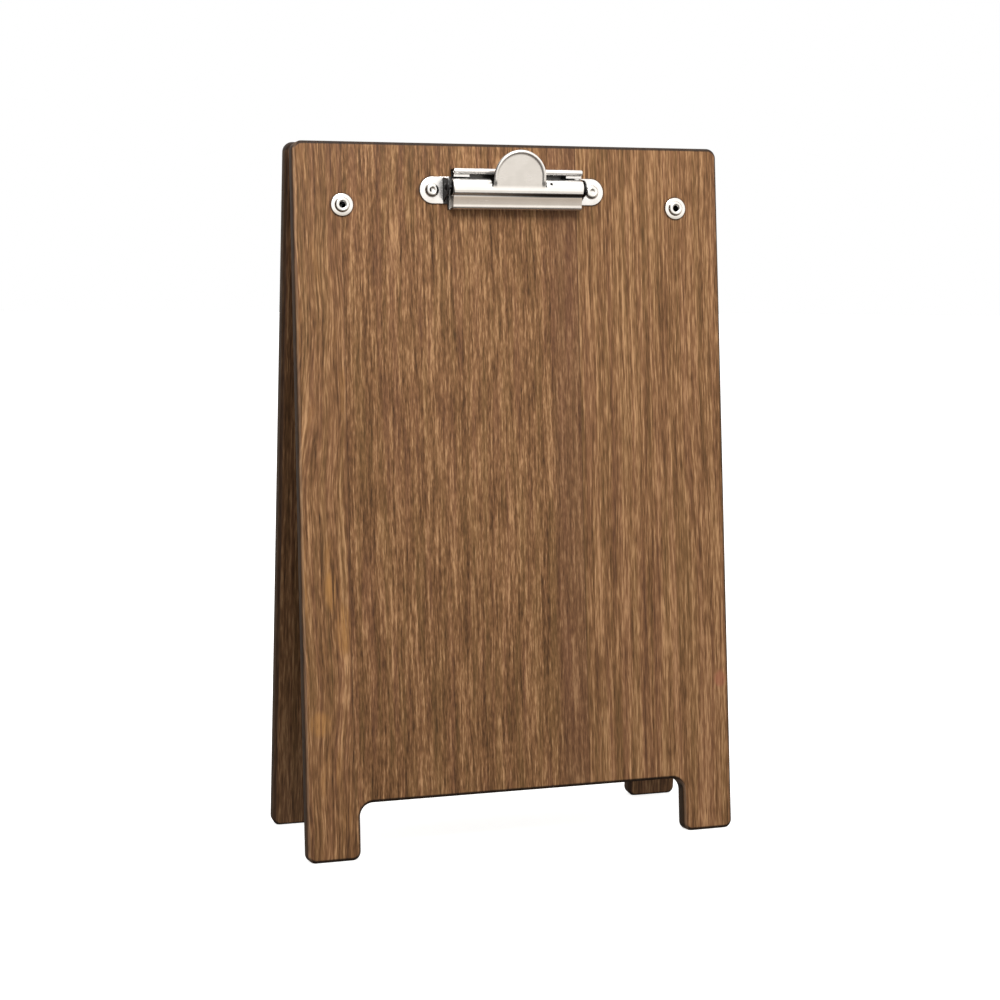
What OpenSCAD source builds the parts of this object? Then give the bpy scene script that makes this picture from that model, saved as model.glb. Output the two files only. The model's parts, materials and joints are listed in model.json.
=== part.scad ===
// Folding table-top menu stand: two wooden boards hinged near their tops, a lever clip on each.
// X runs across the boards, -Y is the front, Z is up. The origin is on the table, midway
// between the feet. All lengths are millimetres and all angles degrees.

/* [Boards] */
// Width of each board
board_w = 224; // [200:1:260]
// Height of each board, measured along its outer face
board_h = 350; // [300:1:420]
// Thickness of each board
board_t = 9; // [6:0.5:12]
// Lean of each board from upright when the stand is open
lean = 5.1; // [4:0.05:8]
// Radius of the top corners of each board
corner_r = 5; // [2:0.5:12]
// Width of each leg beside the arch
leg_w = 26.6; // [24:0.2:40]
// Height of the arch between the legs
arch_h = 27.3; // [15:0.1:45]
// Radius of the arch's upper corners
arch_r = 6.5; // [2:0.1:12]
// Radius of the feet's corners
foot_r = 4.2; // [1:0.1:8]

/* [Hinges] */
// Distance from a board's side to the middle of its hinge
hinge_inset = 24; // [18:0.5:40]
// Length of a hinge along its pin
hinge_len = 28; // [22:1:32]
// Distance from a board's top edge down to the fold axis
fold_drop = 12; // [10:0.5:20]
// Distance from the fold axis to each board's inner face
face_gap = 3.3; // [3.2:0.05:4]
// Thickness of the hinge leaves
leaf_t = 1.2; // [1:0.1:1.4]
// How far a leaf reaches below the fold axis
leaf_drop = 27; // [24:1:34]
// Distance from the fold axis down to the rivet of a leaf
leaf_rivet_drop = 19.3; // [16:0.1:22]
// Outer radius of the hinge knuckles
knuckle_r = 2.9; // [2.6:0.05:3]
// Radius of the hinge pins
pin_r = 1.5; // [1.2:0.05:1.6]

/* [Clips] */
// Length of a clip from ear to ear
clip_len = 96.8; // [92:0.2:120]
// Distance from a board's top edge down to the clip's pivot rod
rod_drop = 22.5; // [22:0.5:40]
// Height of the pivot rod above the board's outer face
rod_h = 5.3; // [5.3:0.1:7]
// Radius of the ears at the ends of the base
ear_r = 6.7; // [5.5:0.1:7]
// Thickness of the base plate
base_t = 0.8; // [0.6:0.1:0.9]
// Thickness of the jaw's sheet
sheet_t = 0.9; // [0.7:0.1:1]
// Outer radius of the jaw's barrel
barrel_r = 4.3; // [4.1:0.1:4.4]
// Width of the thumb lever
lever_w = 27.4; // [20:0.2:36]
// Reach of the thumb lever above the pivot rod
lever_reach = 18; // [16:0.5:21]
// Tilt of the thumb lever away from the board
lever_tilt = 12.3; // [8:0.1:15]
// How far the jaw has slid along its rod, to the right seen from its own face
jaw_slide = 0.7; // [-1.2:0.1:1.2]

/* [Hidden] */
$fn = 64;

// Radial clearance of a part that turns on a pin or rod
running = 0.05;
// Overlap that joins two shapes of one piece
joint_lap = 0.1;

// A board's outer face in its own frame, and the height of the fold axis above the table
outer_y = face_gap + board_t;
fold_z = (board_h - fold_drop) * cos(lean) - outer_y * sin(lean);

// Hinges: one knuckle of the rear leaf turns between two of the front leaf
hinge_x = board_w / 2 - hinge_inset;
knuckle_half = hinge_len / 6;
knuckle_play = 0.2;
knuckle_relief = 0.6;
pin_head_r = pin_r + 0.6;
pin_head_t = 0.8;

// Tubular hinge rivets and the washers under their rolled heads
hinge_shank_r = 2.2;
hinge_bore_r = 1.3;
roll_r = 1.25;
inner_head_r = 3.3;
inner_head_t = 0.9;
washer_r = 5.5;
washer_t = 0.8;

// Domed clip rivets and the washers behind the board
clip_shank_r = 1.6;
dome_r = 3.6;
dome_h = 1.7;
dimple_r = 1.1;
clinch_r = 2.6;
clinch_t = 0.7;
backer_r = 4.2;
backer_t = 0.6;

// Clip: places along X, and distances up the board (u) and out from it (h)
ear_x = clip_len / 2 - ear_r;
ear_u = -1.05;
clip_rivet_x = ear_x + 0.5;
lug_x = clip_len / 2 - 12;
lug_r = 4.3;
jaw_half = lug_x - 2.2;
rod_r = 1.25;
rod_head_r = 1.8;
rod_head_t = 0.6;
barrel_from = 15;
barrel_to = 90;
jaw_path = [
    [-2.9, 8.95], [-3.75, 7.7], [-4.5, 7.5], [-9.2, 6.2], [-10, 5.6], [-10.35, 4.8], [-10.35, 1.1],
];
base_low_u = -10.6;
bead_u = 7.9;
bead_h = 5.3;
bead_r = 1.5;
flange_x = 1.6;
flange_half = 33.7;
shoulder_len = 8;
shoulder_u = 5.2;
shoulder_h = 4.8;
window_half = lever_w / 2 - 1;
hook_hole_x = 16.9;
hook_hole_u = 1.7;
hook_hole_r = 0.75;
rim_w = 1.6;
rim_h = 0.8;

// Torsion spring
wire_r = 0.5;
coil_r = 2.2;
coil_len = 24;
coil_lap = 0.05;
base_leg_end = [-5.3, base_t + wire_r + 0.08];
lever_leg_u = 5.6;
lever_leg_end = [lever_leg_u, rod_h + barrel_r - sheet_t + lever_leg_u * tan(lever_tilt) - wire_r - 0.12];

wood = [0.40, 0.26, 0.17];
nickel = [0.80, 0.79, 0.77];
steel = [0.62, 0.62, 0.63];

// ---------------------------------------------------------------- frames and helpers

// A board's own frame: the fold axis is X, the board hangs below it, and its outer face is -Y
module front_frame() translate([0, 0, fold_z]) rotate([-lean, 0, 0]) children();
module rear_frame() rotate([0, 0, 180]) front_frame() children();

// Puts a shape on a board's outer face, its +Z pointing out, at x and this far below the top edge
module on_face(x, drop) translate([x, -outer_y, fold_drop - drop]) rotate([90, 0, 0]) children();

// The clip's frame in a board's frame: on the outer face, level with the pivot rod
module clip_frame() translate([0, -outer_y, fold_drop - rod_drop]) children();

// Extrudes a [u, h] outline along X, centred on x
module across(length, x = 0) {
    rotate([180, -90, 0])
        translate([0, 0, x - length / 2])
            linear_extrude(length)
                children();
}

module both_sides(x) for (side = [-1, 1]) translate([side * x, 0, 0]) children();

// Centre lines of bent sheet: unit normals and the outline of a sheet of thickness t
function normal_at(path, i) =
    let (step = path[min(i + 1, len(path) - 1)] - path[max(i - 1, 0)])
    [-step[1], step[0]] / norm(step);
function sheet_side(path, offset) = [for (i = [0 : len(path) - 1]) path[i] + normal_at(path, i) * offset];
function reversed(path) = [for (i = [len(path) - 1 : -1 : 0]) path[i]];
function sheet_outline(path, t) = concat(sheet_side(path, t / 2), reversed(sheet_side(path, -t / 2)));

function polar(r, angle) = r * [cos(angle), sin(angle)];

// Point where a straight wire from `end` leaves a coil of radius r round `centre`
function tangent_point(centre, r, end, turn) =
    let (d = end - centre)
    centre + polar(r, atan2(d[1], d[0]) + turn * acos(r / norm(d)));

// ---------------------------------------------------------------- boards

module rounded_rect(width, height, r) {
    translate([-width / 2, r]) square([width, height - 2 * r]);
    translate([-width / 2 + r, 0]) square([width - 2 * r, height]);
    for (x = [-width / 2 + r, width / 2 - r], y = [r, height - r])
        translate([x, y]) circle(r);
}

module foot_corner(x, side) {
    translate([x, 0]) difference() {
        translate([side > 0 ? -foot_r : -joint_lap, -joint_lap])
            square([foot_r + joint_lap, foot_r + joint_lap]);
        translate([-side * foot_r, foot_r]) circle(foot_r);
    }
}

module board_outline() {
    arch_w = board_w - 2 * leg_w;
    difference() {
        rounded_rect(board_w, board_h, corner_r);
        translate([0, -board_h + arch_h]) rounded_rect(arch_w, board_h, arch_r);
        foot_corner(-arch_w / 2, 1);
        foot_corner(arch_w / 2, -1);
        foot_corner(-board_w / 2, -1);
        foot_corner(board_w / 2, 1);
    }
}

// Everything below the table top, seen from a board's frame
module below_table() {
    rotate([lean, 0, 0])
        translate([-board_w, -board_w, -fold_z - board_t])
            cube([2 * board_w, 2 * board_w, board_t]);
}

module rivet_hole(x, drop, r) {
    on_face(x, drop) translate([0, 0, -2 * board_t]) cylinder(h = 3 * board_t, r = r);
}

module board() {
    difference() {
        translate([0, -face_gap, fold_drop - board_h])
            rotate([90, 0, 0])
                linear_extrude(board_t)
                    board_outline();
        below_table();
        for (side = [-1, 1]) {
            rivet_hole(side * hinge_x, fold_drop + leaf_rivet_drop, hinge_shank_r);
            rivet_hole(side * clip_rivet_x, rod_drop - ear_u, clip_shank_r);
        }
    }
}

// ---------------------------------------------------------------- hinges

module knuckle(from, to, bore) {
    translate([from, 0, 0]) rotate([0, 90, 0]) difference() {
        cylinder(h = to - from, r = knuckle_r);
        translate([0, 0, -1]) cylinder(h = to - from + 2, r = bore);
    }
}

// A leaf on a board's inner face, with knuckles over the given [from, to] stretches
module leaf(x, stretches, bore) {
    plate_top = -(knuckle_r + knuckle_relief);
    translate([x, 0, 0]) {
        difference() {
            translate([-hinge_len / 2, -face_gap, -leaf_drop])
                cube([hinge_len, leaf_t, leaf_drop + plate_top]);
            translate([0, 0, -leaf_rivet_drop])
                rotate([90, 0, 0])
                    cylinder(h = 2 * face_gap, r = hinge_shank_r);
        }
        for (s = stretches) {
            difference() {
                translate([s[0], -face_gap, plate_top - joint_lap])
                    cube([s[1] - s[0], leaf_t, joint_lap - plate_top]);
                translate([s[0] - 1, 0, 0])
                    rotate([0, 90, 0])
                        cylinder(h = s[1] - s[0] + 2, r = (knuckle_r + bore) / 2);
            }
            knuckle(s[0], s[1], bore);
        }
    }
}

module front_leaf(x) {
    inner = knuckle_half + knuckle_play / 2;
    leaf(x, [[-hinge_len / 2, -inner], [inner, hinge_len / 2]], pin_r);
}

module rear_leaf(x) {
    inner = knuckle_half - knuckle_play / 2;
    leaf(x, [[-inner, inner]], pin_r + running);
}

module hinge_pin(x) {
    translate([x - hinge_len / 2, 0, 0]) rotate([0, 90, 0]) {
        cylinder(h = hinge_len, r = pin_r);
        for (end = [-pin_head_t, hinge_len])
            translate([0, 0, end]) cylinder(h = pin_head_t, r = pin_head_r);
    }
}

module hinge_rivet() {
    inner_end = -(board_t + leaf_t);
    rotate_extrude() {
        translate([hinge_bore_r, inner_end])
            square([hinge_shank_r - hinge_bore_r, washer_t - inner_end]);
        translate([hinge_bore_r, inner_end - inner_head_t])
            square([inner_head_r - hinge_bore_r, inner_head_t]);
        intersection() {
            translate([hinge_bore_r + roll_r, washer_t]) circle(roll_r);
            translate([0, washer_t]) square([washer_r, roll_r]);
        }
    }
}

module washer(r, bore, t) {
    difference() {
        cylinder(h = t, r = r);
        translate([0, 0, -1]) cylinder(h = t + 2, r = bore);
    }
}

module hinge_rivets() {
    for (side = [-1, 1]) on_face(side * hinge_x, fold_drop + leaf_rivet_drop) hinge_rivet();
}

module rivet_washers() {
    for (side = [-1, 1])
        on_face(side * hinge_x, fold_drop + leaf_rivet_drop)
            washer(washer_r, hinge_shank_r, washer_t);
}

// ---------------------------------------------------------------- clips

module base_outline() {
    translate([-ear_x, ear_u - ear_r]) square([2 * ear_x, 2 * ear_r]);
    both_sides(ear_x) translate([0, ear_u]) circle(ear_r);
    translate([-jaw_half, base_low_u]) square([2 * jaw_half, -base_low_u]);
    translate([flange_x - flange_half, -joint_lap]) square([2 * flange_half, bead_u + bead_r + joint_lap]);
}

// End lug that carries the pivot rod
module lug_outline() {
    foot_low = ear_u - ear_r + 0.6;
    foot_high = ear_u + ear_r;
    difference() {
        union() {
            polygon([[foot_low, 0], [foot_high, 0], [lug_r, rod_h], [-lug_r, rod_h]]);
            translate([0, rod_h]) circle(lug_r);
        }
        translate([0, rod_h]) circle(rod_r);
    }
}

// Upstanding flange along the top of the base, its edge rolled into a bead
module flange_outline() {
    translate([bead_u + bead_r - base_t, 0]) square([base_t, bead_h]);
    translate([bead_u, bead_h]) difference() {
        circle(bead_r);
        circle(bead_r - base_t);
        translate([0, -bead_r]) square([bead_r - base_t, bead_r]);
    }
}

module shoulder_outline() {
    shoulder_w = bead_u - bead_r + base_t / 2 - shoulder_u;
    translate([shoulder_u, shoulder_h - base_t]) square([shoulder_w, base_t]);
}

module clip_base() {
    clip_frame() {
        difference() {
            rotate([90, 0, 0]) linear_extrude(base_t) base_outline();
            both_sides(clip_rivet_x)
                translate([0, 1, ear_u]) rotate([90, 0, 0]) cylinder(h = 2 + base_t, r = clip_shank_r);
        }
        across(2 * flange_half, flange_x) flange_outline();
        for (side = [-1, 1]) {
            across(base_t, side * (lug_x - base_t / 2)) lug_outline();
            across(shoulder_len, flange_x + side * (flange_half - shoulder_len / 2)) shoulder_outline();
        }
    }
}

// The jaw in section: curved over the pivot rod, then flat, a crease, and the lip with its edge bent in
module jaw_outline() {
    far = 3 * barrel_r;
    translate([0, rod_h]) difference() {
        circle(barrel_r);
        circle(barrel_r - sheet_t);
        polygon([
            [0, 0], polar(far, barrel_from), [far, -far], [-far, -far], [-far, far], polar(far, barrel_to),
        ]);
    }
    barrel_end = [0, rod_h] + polar(barrel_r - sheet_t / 2, barrel_to - 4);
    polygon(sheet_outline(concat([barrel_end], jaw_path), sheet_t));
}

// Thumb lever seen square on: straight sides from the barrel's crown and a half-round end
module lever_outline(inset = 0) {
    r = lever_w / 2;
    straight = lever_reach / cos(lever_tilt) - r;
    translate([inset - r, -0.5]) square([2 * (r - inset), straight + 0.5]);
    translate([0, straight]) intersection() {
        circle(r - inset);
        translate([-r, -joint_lap]) square([2 * r, 2 * r]);
    }
}

// The frame of the lever's underside, tilted away from the board over the barrel's crown
module lever_frame() {
    translate([0, -(rod_h + barrel_r - sheet_t), 0]) rotate([lever_tilt, 0, 0]) children();
}

module lever() {
    lever_frame() rotate([90, 0, 0]) {
        linear_extrude(sheet_t) lever_outline();
        linear_extrude(sheet_t + rim_h) difference() {
            lever_outline();
            lever_outline(rim_w);
            translate([-lever_w, -lever_w]) square([2 * lever_w, lever_w + lever_reach / 4]);
        }
    }
}

module clip_jaw() {
    clip_frame() translate([jaw_slide, 0, 0]) difference() {
        union() {
            across(2 * jaw_half) jaw_outline();
            for (side = [-1, 1])
                across(sheet_t, side * (jaw_half - sheet_t / 2)) translate([0, rod_h]) circle(barrel_r);
            lever();
        }
        across(3 * jaw_half) translate([0, rod_h]) circle(rod_r + running);
        lever_frame() translate([-window_half, 0, 0.6]) cube([2 * window_half, barrel_r, barrel_r]);
        translate([hook_hole_x, 0, hook_hole_u])
            rotate([90, 0, 0])
                translate([0, 0, rod_h]) cylinder(h = 2 * barrel_r, r = hook_hole_r);
    }
}

module clip_rod() {
    clip_frame() {
        across(2 * lug_x) translate([0, rod_h]) circle(rod_r);
        for (side = [-1, 1])
            across(rod_head_t, side * (lug_x + rod_head_t / 2)) translate([0, rod_h]) circle(rod_head_r);
    }
}

// Straight wire in the [u, h] plane at x
module wire(x, from, to) {
    step = to - from;
    rotate([180, -90, 0])
        translate([from[0], from[1], x])
            rotate([0, 0, atan2(step[1], step[0])])
                rotate([0, 90, 0])
                    cylinder(h = norm(step), r = wire_r);
}

module clip_spring() {
    axis = [0, rod_h];
    leg_x = coil_len / 2 - wire_r - coil_lap;
    clip_frame() {
        across(coil_len) translate(axis) difference() {
            circle(coil_r + wire_r + coil_lap);
            circle(coil_r - wire_r - coil_lap);
        }
        wire(-leg_x, tangent_point(axis, coil_r, base_leg_end, 1), base_leg_end);
        wire(leg_x, tangent_point(axis, coil_r, lever_leg_end, 1), lever_leg_end);
    }
}

module clip_rivet() {
    inner_end = -(board_t + backer_t);
    cap_r = (dome_r * dome_r + dome_h * dome_h) / (2 * dome_h);
    rotate_extrude() {
        translate([0, inner_end]) square([clip_shank_r, base_t - inner_end + joint_lap]);
        translate([0, inner_end - clinch_t]) square([clinch_r, clinch_t]);
        difference() {
            intersection() {
                translate([0, base_t + dome_h - cap_r]) circle(cap_r);
                translate([0, base_t]) square([dome_r, dome_h]);
            }
            translate([0, base_t + dome_h + 0.2]) circle(dimple_r);
        }
    }
}

module clip_rivets() {
    for (side = [-1, 1]) on_face(side * clip_rivet_x, rod_drop - ear_u) clip_rivet();
}

module clip_backers() {
    for (side = [-1, 1])
        on_face(side * clip_rivet_x, rod_drop - ear_u)
            translate([0, 0, -board_t - backer_t]) washer(backer_r, clip_shank_r, backer_t);
}

// ---------------------------------------------------------------- sub-parts

module front_board() color(wood) front_frame() board();
module rear_board() color(wood) rear_frame() board();

module hinge_left_front_leaf() color(steel) front_frame() front_leaf(-hinge_x);
module hinge_right_front_leaf() color(steel) front_frame() front_leaf(hinge_x);
module hinge_left_rear_leaf() color(steel) rear_frame() rear_leaf(hinge_x);
module hinge_right_rear_leaf() color(steel) rear_frame() rear_leaf(-hinge_x);
module hinge_left_pin() color(nickel) front_frame() hinge_pin(-hinge_x);
module hinge_right_pin() color(nickel) front_frame() hinge_pin(hinge_x);

module front_hinge_rivets() color(nickel) front_frame() hinge_rivets();
module rear_hinge_rivets() color(nickel) rear_frame() hinge_rivets();
module front_rivet_washers() color(nickel) front_frame() rivet_washers();
module rear_rivet_washers() color(nickel) rear_frame() rivet_washers();

module front_clip_base() color(nickel) front_frame() clip_base();
module rear_clip_base() color(nickel) rear_frame() clip_base();
module front_clip_jaw() color(nickel) front_frame() clip_jaw();
module rear_clip_jaw() color(nickel) rear_frame() clip_jaw();
module front_clip_rod() color(steel) front_frame() clip_rod();
module rear_clip_rod() color(steel) rear_frame() clip_rod();
module front_clip_spring() color(steel) front_frame() clip_spring();
module rear_clip_spring() color(steel) rear_frame() clip_spring();
module front_clip_rivets() color(nickel) front_frame() clip_rivets();
module rear_clip_rivets() color(nickel) rear_frame() clip_rivets();
module front_clip_backers() color(steel) front_frame() clip_backers();
module rear_clip_backers() color(steel) rear_frame() clip_backers();

front_board();
rear_board();
hinge_left_front_leaf();
hinge_left_rear_leaf();
hinge_left_pin();
hinge_right_front_leaf();
hinge_right_rear_leaf();
hinge_right_pin();
front_hinge_rivets();
front_rivet_washers();
rear_hinge_rivets();
rear_rivet_washers();
front_clip_base();
front_clip_jaw();
front_clip_rod();
front_clip_spring();
front_clip_rivets();
front_clip_backers();
rear_clip_base();
rear_clip_jaw();
rear_clip_rod();
rear_clip_spring();
rear_clip_rivets();
rear_clip_backers();
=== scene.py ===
import json
import math

import bmesh
import bpy
from mathutils import Matrix, Vector


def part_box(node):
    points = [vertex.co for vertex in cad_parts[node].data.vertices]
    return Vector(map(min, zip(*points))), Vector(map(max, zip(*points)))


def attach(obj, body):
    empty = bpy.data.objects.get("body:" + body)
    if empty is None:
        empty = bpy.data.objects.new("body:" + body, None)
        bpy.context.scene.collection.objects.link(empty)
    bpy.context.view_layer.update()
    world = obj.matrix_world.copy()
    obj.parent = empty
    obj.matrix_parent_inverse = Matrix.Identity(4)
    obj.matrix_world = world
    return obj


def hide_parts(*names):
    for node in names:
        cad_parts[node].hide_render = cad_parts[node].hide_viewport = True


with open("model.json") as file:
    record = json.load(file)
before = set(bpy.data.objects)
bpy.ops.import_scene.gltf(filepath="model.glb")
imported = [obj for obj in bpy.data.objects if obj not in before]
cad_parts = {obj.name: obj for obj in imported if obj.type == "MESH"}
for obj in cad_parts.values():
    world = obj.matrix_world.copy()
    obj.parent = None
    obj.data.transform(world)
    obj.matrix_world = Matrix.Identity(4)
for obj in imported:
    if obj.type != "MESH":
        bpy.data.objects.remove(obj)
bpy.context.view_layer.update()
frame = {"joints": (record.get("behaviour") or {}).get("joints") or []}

# ---------------------------------------------------------------- sizes, in millimetres
# A board's own frame has the fold axis as X, the board hanging down -Z and its outer face at -Y.
# On a clip or rivet, x runs across the board, u up it and h out from its outer face.

MM = 0.001
joints = {joint["name"]: joint for joint in frame["joints"]}
fold_at = Vector(joints["fold"]["pos_m"])
LEAN = math.radians(-joints["fold"]["range_deg"][0]) / 2
FRONT = Matrix.Translation(fold_at) @ Matrix.Rotation(-LEAN, 4, "X")
FRAMES = {"front": FRONT, "rear": Matrix.Rotation(math.pi, 4, "Z") @ FRONT}

# Boards
BOARD_T = 9.0
FACE_GAP = 3.3
OUTER = FACE_GAP + BOARD_T
board_low, board_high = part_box("front_board")
BOARD_W = (board_high.x - board_low.x) / MM
FOLD_DROP = ((board_high.z - fold_at.z) / MM - OUTER * math.sin(LEAN)) / math.cos(LEAN)
BOARD_LOW = -(fold_at.z / MM + OUTER * math.sin(LEAN)) / math.cos(LEAN)
BOARD_EASE = 2.0
CORNER_R = 5.0
LEG_W = 26.6
ARCH_H = 27.3
ARCH_R = 6.5
FOOT_R = 4.2

# Hinges, their rivets and washers
HINGE_X = 88.0
HINGE_LEN = 28.0
LEAF_T = 1.2
LEAF_DROP = 27.0
LEAF_TOP = -3.5
LEAF_RIVET = -19.3
PIN_R = 1.5
KNUCKLE_R = 2.9
HINGE_BORE_R = 1.3
HINGE_SHANK_R = 2.2
WASHER_R = 5.5
WASHER_T = 0.8

# Clips
rod_at = FRONT.inverted() @ Vector(joints["front_clip_press"]["pos_m"]) / MM
ROD_H = -rod_at.y - OUTER
ROD_Z = rod_at.z
ROD_R = 1.25
EAR_R = 6.7
EAR_X = 41.7
EAR_U = -1.05
RIVET_X = 42.2
CLIP_SHANK_R = 1.6
LUG_X = 36.4
JAW_HALF = 34.2
JAW_X = 0.7
FLANGE_X = 1.6
FLANGE_HALF = 33.7
BASE_T = 0.8
BASE_LOW = -10.6
SHEET_T = 0.9
BARREL_R = 4.3
LEVER_R = 13.7
LEVER_STRAIGHT = 4.7
LEVER_TILT = math.radians(12.3)
LEVER_NOTCH = 0.8
RIM_W = 2.0
RIM_H = 1.0
BEAD_R = 1.5
BEAD_AT = (7.9, 5.3)
SHOULDER_U = (5.25, 6.6)
SHOULDER_H = 3.9
SHOULDER_SAG = 0.03
SHOULDER_LEN = 8.1
LUG_CROWN_R = 4.3
HOOK_HOLE = (16.9, 1.7)
COIL_R = 2.2
COIL_LEN = 24.0
COIL_TURNS = 22
WIRE_R = 0.5

# Glue lines of the three staves in each board, in metres from its middle
FRONT_SEAMS = (-0.088, 0.034)
REAR_SEAMS = (-0.052, 0.071)

# Where in the noise each board's grain is cut from, so that the two differ
FRONT_PLACE = 0.0
REAR_PLACE = 7.3
STAVE_STEP = 1.37


# ---------------------------------------------------------------- shapes

def arc(cx, cy, r, start, end, steps):
    """Points on an arc, angles in degrees."""
    angles = [math.radians(start + (end - start) * i / steps) for i in range(steps + 1)]
    return [(cx + r * math.cos(a), cy + r * math.sin(a)) for a in angles]


def spread(start, end, steps):
    """Evenly spaced numbers from start to end, both included."""
    return [start + (end - start) * i / steps for i in range(steps + 1)]


def smooth(low, high, value):
    """0 below low, 1 above high, and smooth in between."""
    t = min(max((value - low) / (high - low), 0.0), 1.0)
    return t * t * (3 - 2 * t)


def clip_point(x, u, h):
    """A point on a clip, in the board's frame."""
    return Vector((x, -OUTER - h, ROD_Z + u))


def weld(bm, distance=0.005):
    """Joins points that lie on each other."""
    bmesh.ops.remove_doubles(bm, verts=bm.verts, dist=distance)


def add_grid(bm, rows):
    """A sheet of quads through rows of points that all have the same length."""
    verts = [[bm.verts.new(p) for p in row] for row in rows]
    for upper, lower in zip(verts, verts[1:]):
        for i in range(len(upper) - 1):
            bm.faces.new((upper[i], upper[i + 1], lower[i + 1], lower[i]))


def to_object(bm, name):
    """Turns a bmesh into an object in the scene, and frees it."""
    mesh = bpy.data.meshes.new(name)
    bm.to_mesh(mesh)
    bm.free()
    made = bpy.data.objects.new(name, mesh)
    bpy.context.scene.collection.objects.link(made)
    return made


def apply_modifiers(made):
    """Puts the mesh that the modifiers give in place of the old one."""
    bpy.context.view_layer.update()
    evaluated = made.evaluated_get(bpy.context.evaluated_depsgraph_get())
    mesh = bpy.data.meshes.new_from_object(evaluated)
    old = made.data
    made.modifiers.clear()
    made.data = mesh
    bpy.data.meshes.remove(old)
    return made


def ease_edges(made, width, segments=3, angle=50):
    """Rounds the edges that are sharper than angle, in degrees."""
    bevel = made.modifiers.new("ease", "BEVEL")
    bevel.width = width
    bevel.segments = segments
    bevel.limit_method = "ANGLE"
    bevel.angle_limit = math.radians(angle)
    return apply_modifiers(made)


def thicken(made, thickness, offset=-1.0):
    """Turns a sheet into a solid; offset -1 keeps the side that the normals point out of."""
    solid = made.modifiers.new("thickness", "SOLIDIFY")
    solid.thickness = thickness
    solid.offset = offset
    solid.use_even_offset = True
    return apply_modifiers(made)


def combine(made, other, how):
    """Cuts other from made, or joins it on, and removes other."""
    boolean = made.modifiers.new(how, "BOOLEAN")
    boolean.operation = how
    boolean.solver = "EXACT"
    boolean.object = other
    apply_modifiers(made)
    bpy.data.objects.remove(other)
    return made


def join_all(parts):
    """Joins the later parts onto the first, one by one."""
    for other in parts[1:]:
        combine(parts[0], other, "UNION")
    return parts[0]


def plate(name, outline, thickness, place, ease, segments=3):
    """A flat plate from an outline; place turns (a, b, depth) into a point, depth from 0 to thickness."""
    bm = bmesh.new()
    face = bm.faces.new([bm.verts.new(place(a, b, 0.0)) for a, b in outline])
    extruded = bmesh.ops.extrude_face_region(bm, geom=[face])
    step = place(*outline[0], thickness) - place(*outline[0], 0.0)
    moved = [v for v in extruded["geom"] if isinstance(v, bmesh.types.BMVert)]
    bmesh.ops.translate(bm, verts=moved, vec=step)
    bmesh.ops.recalc_face_normals(bm, faces=bm.faces)
    rims = [e for e in bm.edges if any(len(f.verts) > 4 for f in e.link_faces)]
    bmesh.ops.bevel(
        bm, geom=rims, offset=ease, segments=segments, profile=0.5, affect="EDGES", clamp_overlap=True
    )
    return to_object(bm, name)


def lathe(name, profile, place, segments=48):
    """A round part: profile is (radius, height) pairs, closed on itself; place takes (x, y, height)."""
    bm = bmesh.new()
    rings = []
    for r, height in profile:
        if r < 1e-6:
            rings.append([bm.verts.new(place(0.0, 0.0, height))] * segments)
            continue
        turns = [2 * math.pi * i / segments for i in range(segments)]
        rings.append([bm.verts.new(place(r * math.cos(a), r * math.sin(a), height)) for a in turns])
    for ring, after in zip(rings, rings[1:] + rings[:1]):
        for i in range(segments):
            j = (i + 1) % segments
            corners = []
            for v in (ring[i], ring[j], after[j], after[i]):
                if v not in corners:
                    corners.append(v)
            if len(corners) > 2:
                bm.faces.new(corners)
    bmesh.ops.recalc_face_normals(bm, faces=bm.faces)
    return to_object(bm, name)


def tube(name, path, r, sides=10):
    """Round wire along a path of points, with domed ends."""
    bm = bmesh.new()
    rings = []
    side_way = None
    for i, point in enumerate(path):
        ahead = (path[min(i + 1, len(path) - 1)] - path[max(i - 1, 0)]).normalized()
        if side_way is None:
            side_way = ahead.orthogonal().normalized()
        side_way = (side_way - ahead * side_way.dot(ahead)).normalized()
        third = ahead.cross(side_way)
        turns = [2 * math.pi * k / sides for k in range(sides)]
        ring = [point + r * (math.cos(a) * side_way + math.sin(a) * third) for a in turns]
        if i == 0:
            rings.append(shrink(ring, point, -ahead * r * 0.6))
        rings.append(ring)
        if i == len(path) - 1:
            rings.append(shrink(ring, point, ahead * r * 0.6))
    verts = [[bm.verts.new(p) for p in ring] for ring in rings]
    for ring, after in zip(verts, verts[1:]):
        for k in range(sides):
            j = (k + 1) % sides
            bm.faces.new((ring[k], ring[j], after[j], after[k]))
    bm.faces.new(verts[0])
    bm.faces.new(verts[-1])
    bmesh.ops.recalc_face_normals(bm, faces=bm.faces)
    return to_object(bm, name)


def shrink(ring, centre, step):
    """A smaller ring a step further on, for a wire's domed end."""
    return [centre + (p - centre) * 0.6 + step for p in ring]


def on_face(x, u):
    """A place function for parts that stand on a board's outer face, height pointing out."""
    return lambda a, b, height: Vector((x + a, -OUTER - height, u + b))


# ---------------------------------------------------------------- materials

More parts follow.
